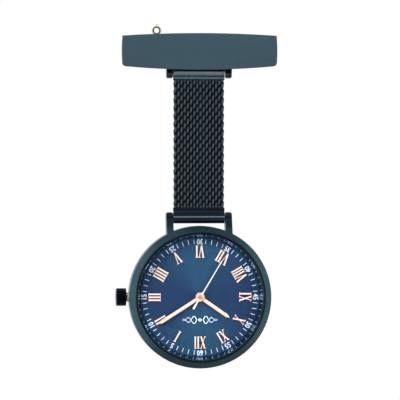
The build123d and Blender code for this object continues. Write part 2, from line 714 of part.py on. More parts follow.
coil_z = -7.3
coil_depth = 2.2
with BuildPart() as coil:
    cross_rod(0.8, -4.0, 3.0, -coil_depth, coil_z)
    for flange_x in (-4.2, 3.0):
        cross_rod(1.0, flange_x, flange_x + 0.2, -coil_depth, coil_z)
    with BuildSketch(Plane.YZ.offset(-5.2)):
        with Locations((-coil_depth, coil_z)):
            Rectangle(0.5, 0.8)
    extrude(amount=9.8)
    # Feet of the iron core stand on the stator.
    for foot_x in (-4.8, 4.1):
        with BuildSketch(front_plane(coil_depth, foot_x, coil_z)):
            Rectangle(0.8, 0.8)
        extrude(amount=3.05 - coil_depth)
coil.part.label = "coil"
export_step(coil.part, "parts/coil.step")

with BuildPart() as stator:
    with BuildSketch(front_plane(3.055)):
        with Locations((rotor_x, rotor_z)):
            Circle(1.7)
        with Locations((-4.8, -6.9)):
            Rectangle(1.2, 2.2)
        with Locations((-0.6, -5.95)):
            Rectangle(9.6, 0.9)
        with Locations((3.9, -4.9)):
            Rectangle(1.6, 1.9)
        with Locations((4.4, -6.6)):
            Rectangle(1.2, 2.4)
        with Locations((rotor_x, rotor_z)):
            Circle(1.0, mode=Mode.SUBTRACT)
        # Two notches that settle the rotor's rest position.
        with Locations((rotor_x - 1.0, rotor_z), (rotor_x + 1.0, rotor_z)):
            Circle(0.18, mode=Mode.SUBTRACT)
    extrude(amount=plate_back - 3.055)
stator.part.label = "stator"
export_step(stator.part, "parts/stator.step")


# ---------------------------------------------------------------- wheels
def facing_gap(driver_phase, driver_teeth, direction, teeth):
    """Phase that puts a gap of the second wheel on the driver's tooth along their line.

    direction is the angle, in degrees, from the first wheel's centre to the second's.
    """
    step = 360 / driver_teeth
    offset = (driver_phase - direction) % step
    return direction + 180 + 180 / teeth - offset * driver_teeth / teeth


rotor_phase = 0.0
fifth_wheel_phase = facing_gap(rotor_phase, 10, rotor_angle + 180, 60)
fifth_pinion_phase = 0.0
seconds_wheel_phase = facing_gap(fifth_pinion_phase, 12, fifth_angle + 180, 60)
seconds_pinion_phase = 0.0
third_wheel_phase = facing_gap(seconds_pinion_phase, 8, third_angle, 60)
third_pinion_phase = 0.0
centre_wheel_phase = facing_gap(third_pinion_phase, 8, third_angle + 180, 64)
cannon_phase = 0.0
minute_wheel_phase = facing_gap(cannon_phase, 10, 180, 30)
minute_pinion_phase = 0.0
hour_wheel_phase = facing_gap(minute_pinion_phase, 8, 0, 32)
setting_wheel_phase = facing_gap(minute_wheel_phase, 30, 180, 24)

with BuildPart() as step_rotor:
    disc(0.75, 2.75, 3.28, rotor_x, rotor_z)
    toothed(10, rotor_module, 2.28, 2.6, rotor_x, rotor_z, rotor_phase)
    disc(pivot_radius, 1.65, 3.8, rotor_x, rotor_z)
step_rotor.part.label = "step_rotor"
export_step(step_rotor.part, "parts/step_rotor.step")

with BuildPart() as fifth_wheel:
    toothed(60, rotor_module, 2.36, 2.5, fifth_x, fifth_z, fifth_wheel_phase)
    toothed(12, seconds_module, 2.0, 2.3, fifth_x, fifth_z, fifth_pinion_phase)
    disc(pivot_radius, 1.65, 3.8, fifth_x, fifth_z)
fifth_wheel.part.label = "fifth_wheel"
export_step(fifth_wheel.part, "parts/fifth_wheel.step")

seconds_arbor_radius = 0.12
with BuildPart() as seconds_wheel:
    toothed(60, seconds_module, 2.06, 2.2, 0, 0, seconds_wheel_phase)
    toothed(8, train_module, 2.56, 2.88, 0, 0, seconds_pinion_phase)
    disc(pivot_radius, 1.65, 2.1)
    disc(seconds_arbor_radius, 2.06, 6.22)
seconds_wheel.part.label = "seconds_wheel"
export_step(seconds_wheel.part, "parts/seconds_wheel.step")

with BuildPart() as third_wheel:
    toothed(60, train_module, 2.66, 2.8, third_x, third_z, third_wheel_phase)
    toothed(8, centre_module, 2.93, 3.2, third_x, third_z, third_pinion_phase)
    disc(pivot_radius, 1.65, 3.8, third_x, third_z)
third_wheel.part.label = "third_wheel"
export_step(third_wheel.part, "parts/third_wheel.step")

cannon_radius = 0.36
with BuildPart() as centre_wheel:
    toothed(64, centre_module, 3.0, 3.15, 0, 0, centre_wheel_phase)
    toothed(10, motion_module, 3.92, 4.1, 0, 0, cannon_phase)
    disc(cannon_radius, 3.0, 5.75)
    disc(seconds_arbor_radius + RUN_GAP + 0.01, 2.9, 5.8, mode=Mode.SUBTRACT)
centre_wheel.part.label = "centre_wheel"
export_step(centre_wheel.part, "parts/centre_wheel.step")

with BuildPart() as minute_wheel:
    toothed(30, motion_module, 3.94, 4.06, minute_wheel_x, 0, minute_wheel_phase)
    toothed(8, motion_module, 4.06, 4.36, minute_wheel_x, 0, minute_pinion_phase)
    disc(0.15 + RUN_GAP, 3.9, 4.4, minute_wheel_x, 0, Mode.SUBTRACT)
minute_wheel.part.label = "minute_wheel"
export_step(minute_wheel.part, "parts/minute_wheel.step")

hour_pipe_radius = 0.6
with BuildPart() as hour_wheel:
    toothed(32, motion_module, 4.16, 4.32, 0, 0, hour_wheel_phase)
    disc(hour_pipe_radius, 4.16, 5.32)
    disc(cannon_radius + RUN_GAP, 4.1, 5.4, mode=Mode.SUBTRACT)
hour_wheel.part.label = "hour_wheel"
export_step(hour_wheel.part, "parts/hour_wheel.step")

with BuildPart() as setting_wheel:
    toothed(24, motion_module, 3.94, 4.06, setting_wheel_x, 0, setting_wheel_phase)
    disc(0.15 + RUN_GAP, 3.9, 4.1, setting_wheel_x, 0, Mode.SUBTRACT)
setting_wheel.part.label = "setting_wheel"
export_step(setting_wheel.part, "parts/setting_wheel.step")

# ---------------------------------------------------------------- dial
with BuildPart() as dial:
    disc(dial_radius, dial_back, dial_front)
    disc(hour_pipe_radius + 0.12, dial_back, dial_front, mode=Mode.SUBTRACT)
    for foot_x, foot_z in dial_feet_at:
        disc(0.35, 3.5, dial_back, foot_x, foot_z)
dial.part.label = "dial"
export_step(dial.part, "parts/dial.step")

numeral_height = 2.8
numeral_radius = 10.55
numeral_thick = 0.2
stroke_wide = 0.36
stroke_thin = 0.17
serif_high = 0.15
letter_widths = {"I": 0.68, "V": 1.5, "X": 1.5}
longest_numeral = 3.1


def letter_i(left, width):
    """Upright with a serif at each end, in the current sketch."""
    with Locations((left + width / 2, 0)):
        Rectangle(min(stroke_wide, width * 0.55), numeral_height)
    for serif_y in (-1, 1):
        with Locations((left + width / 2, serif_y * (numeral_height - serif_high) / 2)):
            Rectangle(width * 0.9, serif_high)


def slanted_stroke(top_x, low_x, thick):
    """Straight stroke from the top of the letter to its foot."""
    top = numeral_height / 2
    Polygon((top_x - thick / 2, top), (top_x + thick / 2, top), (low_x + thick / 2, -top),
            (low_x - thick / 2, -top), align=None)


def letter_v(left, width):
    middle = left + width / 2
    slanted_stroke(left + 0.2 * width, middle, stroke_wide)
    slanted_stroke(left + 0.84 * width, middle + 0.05, stroke_thin)
    for serif_x in (0.21, 0.82):
        with Locations((left + serif_x * width, (numeral_height - serif_high) / 2)):
            Rectangle(0.4 * width, serif_high)


def letter_x(left, width):
    slanted_stroke(left + 0.2 * width, left + 0.8 * width, stroke_wide)
    slanted_stroke(left + 0.8 * width, left + 0.2 * width, stroke_thin)
    for serif_x in (0.2, 0.8):
        for serif_y in (-1, 1):
            with Locations((left + serif_x * width, serif_y * (numeral_height - serif_high) / 2)):
                Rectangle(0.36 * width, serif_high)


letter_shapes = {"I": letter_i, "V": letter_v, "X": letter_x}
numerals = ("I", "II", "III", "IIII", "V", "VI", "VII", "VIII", "IX", "X", "XI", "XII")

# Numerals IIII to VIII stand with their heads towards the centre, the others outward.
with BuildPart() as applied_numerals:
    for hour, numeral in enumerate(numerals, start=1):
        total = sum(letter_widths[letter] for letter in numeral)
        squeeze = min(1.0, longest_numeral / total)
        turned = 4 <= hour <= 8
        with BuildSketch(dial_plane(dial_front, 30 * hour, numeral_radius, turned)):
            left = -total * squeeze / 2
            for letter in numeral:
                width = letter_widths[letter] * squeeze
                letter_shapes[letter](left, width)
                left += width
        extrude(amount=numeral_thick)
applied_numerals.part.label = "applied_numerals"
export_step(applied_numerals.part, "parts/applied_numerals.step")


# ---------------------------------------------------------------- hands
def ridged_blade(depth, angle, start, length, width, edge_thick, ridge_thick, tip):
    """Baton with a ridge along its middle and a pointed tip, in the part being built."""
    out_x = -sin(radians(angle))
    out_z = -cos(radians(angle))
    root_plane = Plane(
        origin=(out_x * start, -depth, out_z * start),
        x_dir=(out_z, 0, -out_x),
        z_dir=(out_x, 0, out_z),
    )
    with BuildSketch(root_plane) as section:
        Polygon((-width / 2, 0), (width / 2, 0), (width / 2, -edge_thick), (0, -ridge_thick),
                (-width / 2, -edge_thick), align=None)
    extrude(section.sketch, amount=length - start)
    with BuildSketch(dial_plane(depth - 0.1, angle)) as outline:
        Polygon((-1.2, -1.2), (1.2, -1.2), (width / 2, 1.2), (width / 2, length - tip),
                (0, length), (-width / 2, length - tip), (-width / 2, 1.2), align=None)
    extrude(outline.sketch, amount=1.0, mode=Mode.INTERSECT)


hour_hand_back = 5.12
with BuildPart() as hour_hand:
    ridged_blade(hour_hand_back, hour_angle, 0.7, 8.4, 0.78, 0.06, 0.17, 0.9)
    disc(1.08, hour_hand_back, hour_hand_back + 0.14)
    disc(hour_pipe_radius + SEAT_GAP, hour_hand_back - 0.1, hour_hand_back + 0.5,
         mode=Mode.SUBTRACT)
hour_hand.part.label = "hour_hand"
export_step(hour_hand.part, "parts/hour_hand.step")

minute_hand_back = 5.5
with BuildPart() as minute_hand:
    ridged_blade(minute_hand_back, minute_angle, 0.5, 11.5, 0.76, 0.06, 0.17, 0.9)
    disc(0.95, minute_hand_back, minute_hand_back + 0.16)
    disc(cannon_radius + SEAT_GAP, minute_hand_back - 0.1, minute_hand_back + 0.5,
         mode=Mode.SUBTRACT)
minute_hand.part.label = "minute_hand"
export_step(minute_hand.part, "parts/minute_hand.step")

second_hand_back = 5.92
with BuildPart() as second_hand:
    with BuildSketch(dial_plane(second_hand_back, second_angle)):
        Polygon((-0.13, -2.0), (0.13, -2.0), (0.07, 9.7), (-0.07, 9.7), align=None)
        with Locations((0, -2.6)):
            RectangleRounded(0.42, 1.2, 0.18)
        Circle(0.6)
    extrude(amount=0.09)
    disc(0.3, second_hand_back, second_hand_back + 0.3)
    disc(seconds_arbor_radius + SEAT_GAP, second_hand_back - 0.1, second_hand_back + 0.5,
         mode=Mode.SUBTRACT)
second_hand.part.label = "second_hand"
export_step(second_hand.part, "parts/second_hand.step")
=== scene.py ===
import json
import math

import bpy
import bmesh
from mathutils import Matrix, Vector


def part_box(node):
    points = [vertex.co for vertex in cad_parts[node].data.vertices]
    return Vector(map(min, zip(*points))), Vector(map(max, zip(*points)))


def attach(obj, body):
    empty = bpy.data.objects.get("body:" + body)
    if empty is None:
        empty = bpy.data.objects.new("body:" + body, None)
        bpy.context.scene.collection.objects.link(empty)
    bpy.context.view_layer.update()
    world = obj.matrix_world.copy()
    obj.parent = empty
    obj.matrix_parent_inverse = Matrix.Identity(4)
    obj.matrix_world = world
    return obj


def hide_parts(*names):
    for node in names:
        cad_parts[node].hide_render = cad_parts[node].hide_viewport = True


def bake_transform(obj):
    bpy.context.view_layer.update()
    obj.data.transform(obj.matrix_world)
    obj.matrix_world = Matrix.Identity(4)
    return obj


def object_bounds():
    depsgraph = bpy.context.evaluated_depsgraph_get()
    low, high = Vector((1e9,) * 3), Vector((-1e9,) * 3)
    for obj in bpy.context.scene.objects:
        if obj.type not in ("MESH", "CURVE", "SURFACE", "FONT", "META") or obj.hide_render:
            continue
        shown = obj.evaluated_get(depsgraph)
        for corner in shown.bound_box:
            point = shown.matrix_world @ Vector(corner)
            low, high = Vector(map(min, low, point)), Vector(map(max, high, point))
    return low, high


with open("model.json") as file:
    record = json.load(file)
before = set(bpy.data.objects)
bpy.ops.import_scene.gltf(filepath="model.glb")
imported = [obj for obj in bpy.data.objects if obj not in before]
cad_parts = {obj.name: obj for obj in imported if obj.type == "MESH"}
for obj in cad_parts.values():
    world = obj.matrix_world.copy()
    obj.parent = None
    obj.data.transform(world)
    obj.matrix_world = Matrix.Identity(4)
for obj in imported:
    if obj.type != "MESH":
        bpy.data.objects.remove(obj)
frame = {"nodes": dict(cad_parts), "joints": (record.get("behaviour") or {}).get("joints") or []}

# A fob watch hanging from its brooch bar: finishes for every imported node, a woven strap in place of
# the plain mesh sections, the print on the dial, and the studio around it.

cad_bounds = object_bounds()
MM = 0.001


# ------------------------------------------------------------------ places, from the frame
def middle(node):
    low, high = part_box(node)
    return (low + high) / 2


dial_face_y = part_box("applied_numerals")[1].y
strap_low, strap_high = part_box("mesh_section_4")
strap_half_width = strap_high.x
strap_y = middle("mesh_section_4").y
strap_thickness = strap_high.y - strap_low.y
catch_ring_x = middle("catch_rotor").x
catch_ring_below_top = 1.6 * MM
catch_ring_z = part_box("catch_rotor")[1].z - catch_ring_below_top
lug_foot_below_bezel_top = 1.0 * MM
lug_foot_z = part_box("bezel")[1].z - lug_foot_below_bezel_top
upper_bar_z = middle("upper_spring_bar_barrel").z
lower_bar_z = middle("lower_spring_bar_barrel").z
flex_heights = [joint["pos_m"][2] for joint in frame["joints"]
                if joint["name"].startswith("mesh_flex")]
section_height = flex_heights[0] - flex_heights[1]


# ------------------------------------------------------------------ node helpers
class NodeTree:
    """Short ways to add and link nodes in one node tree."""

    def __init__(self, tree):
        self.tree = tree

    def add(self, kind, **settings):
        node = self.tree.nodes.new(kind)
        for key, value in settings.items():
            setattr(node, key, value)
        return node

    def link(self, source, target):
        self.tree.links.new(source, target)

    def value(self, source, target):
        """Link a socket, or set a plain number or colour."""
        if isinstance(source, bpy.types.NodeSocket):
            self.link(source, target)
        else:
            target.default_value = source

    def math(self, operation, first, second=0.0):
        node = self.add("ShaderNodeMath", operation=operation)
        self.value(first, node.inputs[0])
        self.value(second, node.inputs[1])
        return node.outputs[0]

    def distance(self, across, above):
        """Length of the diagonal over two sides at a right angle."""
        return self.math("SQRT", self.math("ADD", self.math("POWER", across, 2),
                                           self.math("POWER", above, 2)))

    def vector(self, operation, first, second=(0.0, 0.0, 0.0)):
        node = self.add("ShaderNodeVectorMath", operation=operation)
        self.value(first, node.inputs[0])
        self.value(second, node.inputs[1])
        return node.outputs[0]

    def split(self, vector):
        node = self.add("ShaderNodeSeparateXYZ")
        self.link(vector, node.inputs[0])
        return node.outputs

    def join(self, x, y, z):
        node = self.add("ShaderNodeCombineXYZ")
        for source, target in zip((x, y, z), node.inputs):
            self.value(source, target)
        return node.outputs[0]

    def noise(self, vector, scale, detail=3.0, roughness=0.5):
        node = self.add("ShaderNodeTexNoise")
        self.link(vector, node.inputs["Vector"])
        node.inputs["Scale"].default_value = scale
        node.inputs["Detail"].default_value = detail
        node.inputs["Roughness"].default_value = roughness
        return node.outputs["Fac"]

    def spread(self, source, low, high, to_low=0.0, to_high=1.0):
        """Map a range of values onto another, clamped."""
        node = self.add("ShaderNodeMapRange")
        self.link(source, node.inputs["Value"])
        for name, number in (("From Min", low), ("From Max", high),
                             ("To Min", to_low), ("To Max", to_high)):
            node.inputs[name].default_value = number
        return node.outputs["Result"]

    def blend(self, factor, first, second):
        """Colour between two colours or sockets."""
        node = self.add("ShaderNodeMix", data_type="RGBA")
        self.value(factor, node.inputs["Factor"])
        for source, target in ((first, node.inputs[6]), (second, node.inputs[7])):
            if isinstance(source, tuple):
                source = (*source, 1.0)
            self.value(source, target)
        return node.outputs[2]


class Shader(NodeTree):
    """A material with its Principled shader."""

    def __init__(self, name, roughness=0.4, metallic=0.0):
        self.material = bpy.data.materials.new(name)
        self.material.use_nodes = True
        super().__init__(self.material.node_tree)
        self.main = self.tree.nodes["Principled BSDF"]
        self.main.inputs["Roughness"].default_value = roughness
        self.main.inputs["Metallic"].default_value = metallic

    def place(self):
        """The piece's own coordinates, in metres."""
        return self.add("ShaderNodeTexCoord").outputs["Object"]

    def dial_radius(self):
        """Distance from the axis of the hands, in metres."""
        sides = self.split(self.place())
        return self.distance(sides["X"], sides["Z"])

    def bump(self, height, strength, distance, normal=None):
        node = self.add("ShaderNodeBump")
        self.link(height, node.inputs["Height"])
        node.inputs["Strength"].default_value = strength
        node.inputs["Distance"].default_value = distance
        if normal is not None:
            self.link(normal, node.inputs["Normal"])
        return node.outputs["Normal"]

    def set(self, **sockets):
        for name, source in sockets.items():
            if isinstance(source, tuple):
                source = (*source, 1.0)
            self.value(source, self.main.inputs[name.replace("_", " ")])

    def world_direction(self, vector):
        """Turn a direction in the piece's own space into the scene's."""
        node = self.add("ShaderNodeVectorTransform", vector_type="VECTOR",
                        convert_from="OBJECT", convert_to="WORLD")
        self.link(vector, node.inputs[0])
        return node.outputs[0]

    def own_normal(self):
        """The face's direction in the piece's own space, the same in every pose."""
        node = self.add("ShaderNodeVectorTransform", vector_type="NORMAL",
                        convert_from="WORLD", convert_to="OBJECT")
        self.link(self.add("ShaderNodeNewGeometry").outputs["True Normal"], node.inputs[0])
        return node.outputs[0]

    def rounded_edge(self, radius):
        node = self.add("ShaderNodeBevel", samples=4)
        node.inputs["Radius"].default_value = radius
        return node.outputs[0]

    def edge_mask(self, radius, low=0.02, high=0.25):
        """One along sharp edges and nothing on flat faces."""
        rounded = self.rounded_edge(radius)
        flat = self.add("ShaderNodeNewGeometry").outputs["True Normal"]
        node = self.add("ShaderNodeVectorMath", operation="DOT_PRODUCT")
        self.link(rounded, node.inputs[0])
        self.link(flat, node.inputs[1])
        return self.spread(self.math("SUBTRACT", 1.0, node.outputs["Value"]), low, high)


# ------------------------------------------------------------------ metals
edge_round = 0.12 * MM
clamp_edge_round = 0.10 * MM
# Width of the polished edge colour: wear, and painted shade along the bar's edges.
polish_wear_and_shade = 0.18 * MM
# Width of the brushed edge colour: wear and a painted highlight.
brush_wear_and_highlight = 0.20 * MM
fine_grain_height = 0.008 * MM
wipe_height = 0.010 * MM
brush_height = 0.012 * MM
skin_height = 0.020 * MM
# Colour of the painted shade on the lugs.
shaded_lug = (0.012, 0.026, 0.036)
# Colour of the painted shade deep inside the weave.
painted_shade_in_weave = (0.004, 0.006, 0.008)


def coated_polish(name, deep, pale, roughness=0.14, edge=(0.20, 0.27, 0.31), metallic=1.0):
    """Polished or satin steel under a thin coloured coating, with faint wipes and its own edge
    colour: paler as wear on most pieces, darker as painted shade along the bar's edges.
    """
    s = Shader(name, metallic=metallic)
    place = s.place()
    cloud = s.noise(place, 90, 2)
    speck = s.noise(place, 2600, 3)
    wipe = s.noise(s.vector("MULTIPLY", place, (150, 3500, 3500)), 1, 4, 0.7)
    colour = s.blend(s.spread(cloud, 0.35, 0.65), deep, pale)
    colour = s.blend(s.math("MULTIPLY", s.spread(speck, 0.62, 0.8), 0.35), colour, pale)
    # Edge colour: wear where it is paler, painted shade where it is darker, as on the bar.
    colour = s.blend(s.math("MULTIPLY", s.edge_mask(polish_wear_and_shade), 0.45), colour, edge)
    rough = s.spread(wipe, 0.3, 0.75, roughness * 0.7, roughness * 1.6)
    normal = s.bump(wipe, 0.015, wipe_height, s.rounded_edge(edge_round))
    s.set(Base_Color=colour, Roughness=rough, Normal=normal)
    return s.material


def rolled_clamp(name, deep, painted_bands):
    """Coated steel rolled into a tube beside two jaws: a dark base that stands in for shade and dark
    reflection, with painted bands of highlight and reflection along its front. Each band is its lower
    height, its upper height and its colour."""
    s = Shader(name, metallic=0.8)
    place = s.place()
    grains = s.noise(s.vector("MULTIPLY", place, (200, 4000, 4000)), 1, 4, 0.6)
    sides = s.split(place)
    front = s.spread(sides["Y"], strap_y - 0.2 * MM, strap_y - 0.4 * MM)
    colour = s.blend(s.spread(grains, 0.3, 0.7), deep, tuple(1.3 * part for part in deep))
    # Each band paints reflected light onto the front faces only: bright highlights and darker blue
    # reflections.
    for low, high, pale in painted_bands:
        inside = s.math("MULTIPLY", s.spread(sides["Z"], low, low + 0.1 * MM),
                        s.spread(sides["Z"], high, high - 0.12 * MM))
        colour = s.blend(s.math("MULTIPLY", front, inside), colour, pale)
    s.set(Base_Color=colour, Roughness=s.spread(grains, 0.3, 0.7, 0.22, 0.34),
          Normal=s.bump(grains, 0.05, wipe_height, s.rounded_edge(clamp_edge_round)))
    return s.material


def turned_brush(name, deep, pale, roughness=0.3, edge=(0.24, 0.31, 0.34), lug_shade=0.0):
    """Steel brushed in circles about the axis of the hands, with paler edges as wear and a painted
    highlight, and painted shade on the lugs above the case.
    """
    s = Shader(name, metallic=1.0)
    place = s.place()
    x, y, z = s.split(place)
    radius = s.dial_radius()
    angle = s.math("ARCTAN2", x, z)
    lines = s.noise(s.join(s.math("MULTIPLY", radius, 9000), s.math("MULTIPLY", y, 9000),
                           s.math("MULTIPLY", angle, 5)), 1, 5, 0.65)
    cloud = s.noise(place, 120, 3)
    colour = s.blend(s.spread(cloud, 0.3, 0.7), deep, pale)
    colour = s.blend(s.math("MULTIPLY", s.spread(lines, 0.5, 0.8), 0.35), colour, pale)
    # Paler edges: wear and a painted highlight.
    colour = s.blend(s.math("MULTIPLY", s.edge_mask(brush_wear_and_highlight), 0.4), colour, edge)
    # Painted shade on the lugs above the case.
    on_lugs = s.spread(z, lug_foot_z, lug_foot_z + 1.0 * MM)
    colour = s.blend(s.math("MULTIPLY", on_lugs, lug_shade), colour, shaded_lug)
    rough = s.spread(lines, 0.3, 0.7, roughness * 0.75, roughness * 1.3)
    tangent = s.world_direction(s.vector("NORMALIZE", s.join(z, 0.0, s.math("MULTIPLY", x, -1))))
    normal = s.bump(lines, 0.25, brush_height, s.rounded_edge(edge_round))
    s.set(Base_Color=colour, Roughness=rough, Normal=normal, Anisotropic=0.6, Tangent=tangent)
    return s.material


def plain_metal(name, deep, pale, roughness, grain=(4000, 4000, 400)):
    """Uncoated or plated metal with drawn grain along one direction."""
    s = Shader(name, metallic=1.0)
    place = s.place()
    grains = s.noise(s.vector("MULTIPLY", place, grain), 1, 4, 0.6)
    cloud = s.noise(place, 300, 2)
    colour = s.blend(s.spread(cloud, 0.3, 0.7), deep, pale)
    rough = s.spread(grains, 0.3, 0.7, roughness * 0.75, roughness * 1.3)
    s.set(Base_Color=colour, Roughness=rough, Normal=s.bump(grains, 0.12, fine_grain_height))
    return s.material


def wire_metal(name, deep, pale, painted_crest_highlight):
    """Drawn and coated wire: tiny draw lines, a painted highlight where it stands proud and painted
    shade deep inside the weave.
    """
    s = Shader(name, metallic=0.8)
    place = s.add("ShaderNodeAttribute", attribute_name="straight_place").outputs["Vector"]
    grains = s.noise(place, 5200, 3, 0.6)
    cloud = s.noise(place, 700, 2)
    height = s.math("ABSOLUTE", s.math("SUBTRACT", s.split(place)["Y"], strap_y))
    crest = strap_thickness / 2 - 0.02 * MM
    shoulder = strap_thickness / 2 - 0.16 * MM
    foot = strap_thickness / 2 - 0.40 * MM
    colour = s.blend(s.spread(cloud, 0.3, 0.7), deep, pale)
    # Painted highlight on the crests of the wire.
    colour = s.blend(s.spread(height, shoulder, crest), colour, painted_crest_highlight)
    # Painted shade deep inside the weave.
    colour = s.blend(s.spread(height, foot, shoulder), painted_shade_in_weave, colour)
    rough = s.spread(grains, 0.3, 0.7, 0.30, 0.46)
    s.set(Base_Color=colour, Roughness=rough, Normal=s.bump(grains, 0.12, fine_grain_height))
    return s.material


# ------------------------------------------------------------------ dial and glass
def sunburst_dial(name):
    """Navy lacquer over rays brushed out from the centre."""
    s = Shader(name, metallic=0.45)
    sides = s.split(s.place())
    radius = s.dial_radius()
    length = s.math("MAXIMUM", radius, 0.2 * MM)
    ray_x = s.math("DIVIDE", sides["X"], length)
    ray_z = s.math("DIVIDE", sides["Z"], length)
    fine = s.noise(s.join(s.math("MULTIPLY", ray_x, 60), s.math("MULTIPLY", ray_z, 60),
                          s.math("MULTIPLY", radius, 30)), 1, 5, 0.7)
    broad = s.noise(s.join(ray_x, ray_z, 0.0), 1.6, 1)
    colour = s.blend(s.spread(fine, 0.3, 0.7), (0.026, 0.086, 0.172), (0.033, 0.108, 0.208))
    # Painted shade: darker towards the left and right sides of the dial.
    painted_shade_sideways = s.spread(s.math("ABSOLUTE", ray_x), 0.25, 0.95)
    colour = s.blend(s.math("MULTIPLY", painted_shade_sideways, 0.75), colour, (0.021, 0.046, 0.130))
    colour = s.blend(s.math("MULTIPLY", s.spread(broad, 0.4, 0.7), 0.25), colour,
                     (0.020, 0.056, 0.128))
    tangent = s.world_direction(s.join(ray_x, 0.0, ray_z))
    s.set(Base_Color=colour, Roughness=s.spread(fine, 0.3, 0.7, 0.34, 0.42), Anisotropic=0.6,
          Tangent=tangent, Normal=s.bump(fine, 0.05, wipe_height))
    s.main.inputs["Coat Weight"].default_value = 0.2
    s.main.inputs["Coat Roughness"].default_value = 0.08
    return s.material


def clear_glass(name):
    """Thin clear plate: mostly see-through, with a reflection that grows at a glance."""
    s = Shader(name, roughness=0.02)
    place = s.place()
    haze = s.noise(place, 900, 3)
    clear = s.add("ShaderNodeBsdfTransparent")
    s.link(s.blend(s.spread(haze, 0.3, 0.7), (0.985, 0.99, 0.995), (0.965, 0.975, 0.985)),
           clear.inputs["Color"])
    shine = s.add("ShaderNodeBsdfGlossy")
    s.link(s.spread(haze, 0.2, 0.8, 0.015, 0.04), shine.inputs["Roughness"])
    # The same share on inner and outer faces, so the plate stays clear from every side.
    slant = s.add("ShaderNodeLayerWeight")
    slant.inputs["Blend"].default_value = 0.5
    glance = s.math("POWER", slant.outputs["Facing"], 5)
    share = s.math("ADD", 0.02, s.math("MULTIPLY", 0.6, glance))
    mix = s.add("ShaderNodeMixShader")
    s.link(share, mix.inputs["Fac"])
    s.link(clear.outputs[0], mix.inputs[1])
    s.link(shine.outputs[0], mix.inputs[2])
    output = next(n for n in s.tree.nodes if n.type == "OUTPUT_MATERIAL")
    s.link(mix.outputs[0], output.inputs["Surface"])
    s.tree.nodes.remove(s.main)
    return s.material


def gilt(name, face, edge, edge_width):
    """Pale rose plating with painted shade in a deeper copper on its side faces and narrow edges."""
    s = Shader(name, metallic=0.15)
    place = s.place()
    grain = s.noise(place, 3200, 3)
    cloud = s.noise(place, 420, 2)
    colour = s.blend(s.spread(cloud, 0.3, 0.7), face, tuple(0.88 * part for part in face))
    # Side faces and narrow edges take the deeper colour as painted shade.
    side = s.spread(s.split(s.own_normal())["Y"], -0.75, -0.45)
    colour = s.blend(s.math("MAXIMUM", side, s.edge_mask(edge_width, 0.05, 0.3)), colour, edge)
    s.set(Base_Color=colour, Roughness=s.spread(grain, 0.3, 0.7, 0.26, 0.40),
          Normal=s.bump(grain, 0.08, fine_grain_height))
    return s.material


def catch_finish(name, pale, dark):
    """Champagne plating with painted shade, nearly black, around the hole of the catch's ring."""
    s = Shader(name, metallic=0.15)
    place = s.place()
    grain = s.noise(place, 3200, 3)
    sides = s.split(place)
    radius = s.distance(s.math("SUBTRACT", sides["X"], catch_ring_x),
                        s.math("SUBTRACT", sides["Z"], catch_ring_z))
    colour = s.blend(s.spread(grain, 0.3, 0.7), pale, tuple(0.85 * part for part in pale))
    # Painted shade around the hole of the ring.
    colour = s.blend(s.spread(radius, 0.98 * MM, 0.86 * MM), colour, dark)
    s.set(Base_Color=colour, Roughness=s.spread(grain, 0.3, 0.7, 0.26, 0.40),
          Normal=s.bump(grain, 0.08, fine_grain_height))
    return s.material


def second_hand_finish(name):
    """White lacquered arms around a rose hub with a darker ring and a dark red centre dot."""
    s = Shader(name, roughness=0.35)
    centre_dot_radius = 0.14 * MM
    dark_ring_radius = 0.38 * MM
    hub_radius = 0.60 * MM
    soft = 0.04 * MM
    radius = s.dial_radius()
    grain = s.noise(s.place(), 5000, 3)
    white = s.blend(s.spread(grain, 0.3, 0.7), (0.90, 0.87, 0.85), (0.80, 0.77, 0.75))
    rose = s.blend(s.spread(grain, 0.3, 0.7), (0.86, 0.56, 0.44), (0.74, 0.45, 0.34))
    # A darker ring and a dark red dot at the centre are laid in the hub's colour.
    dark_ring = s.math("COMPARE", radius, dark_ring_radius)
    dark_ring.node.inputs[2].default_value = soft
    hub = s.blend(dark_ring, rose, (0.34, 0.15, 0.10))
    outside_centre_dot = s.spread(radius, centre_dot_radius, centre_dot_radius + 1.5 * soft)
    hub = s.blend(outside_centre_dot, (0.16, 0.03, 0.03), hub)
    s.set(Base_Color=s.blend(s.spread(radius, hub_radius, hub_radius + soft), hub, white),
          Metallic=s.spread(radius, hub_radius, hub_radius + soft, 0.35, 0.0),
          Normal=s.bump(grain, 0.06, fine_grain_height))
    return s.material


def printed_ink(name, colour, faded):
    """Pad-printed ink: slightly uneven and satin."""
    s = Shader(name, roughness=0.45)
    grain = s.noise(s.place(), 9000, 3)
    s.set(Base_Color=s.blend(s.spread(grain, 0.3, 0.8), colour, faded),
          Roughness=s.spread(grain, 0.3, 0.7, 0.35, 0.55), Normal=s.bump(grain, 0.1, wipe_height))
    return s.material


def moulded(name, deep, pale, roughness, scale=2500):
    """Moulded plastic, rubber or laminate with a fine skin texture."""
    s = Shader(name, roughness=roughness)
    place = s.place()
    skin = s.noise(place, scale, 4)
    cloud = s.noise(place, 200, 2)
    s.set(Base_Color=s.blend(s.spread(cloud, 0.3, 0.7), deep, pale),
          Roughness=s.spread(skin, 0.3, 0.7, roughness * 0.8, roughness * 1.2),
          Normal=s.bump(skin, 0.2, skin_height))
    return s.material


def winding(name):
    """Enamelled copper wire wound round the coil, in close turns along X, with painted shade between
    the turns and a painted highlight along each.
    """
    s = Shader(name, metallic=0.9, roughness=0.3)
    along = s.split(s.place())["X"]
    phase_per_metre = 26000
    turns = s.math("ABSOLUTE", s.math("SINE", s.math("MULTIPLY", along, phase_per_metre)))
    # Painted shade between the turns and a painted highlight along each turn.
    s.set(Base_Color=s.blend(turns, (0.20, 0.06, 0.02), (0.75, 0.32, 0.14)),
          Normal=s.bump(turns, 0.5, 0.03 * MM))
    return s.material


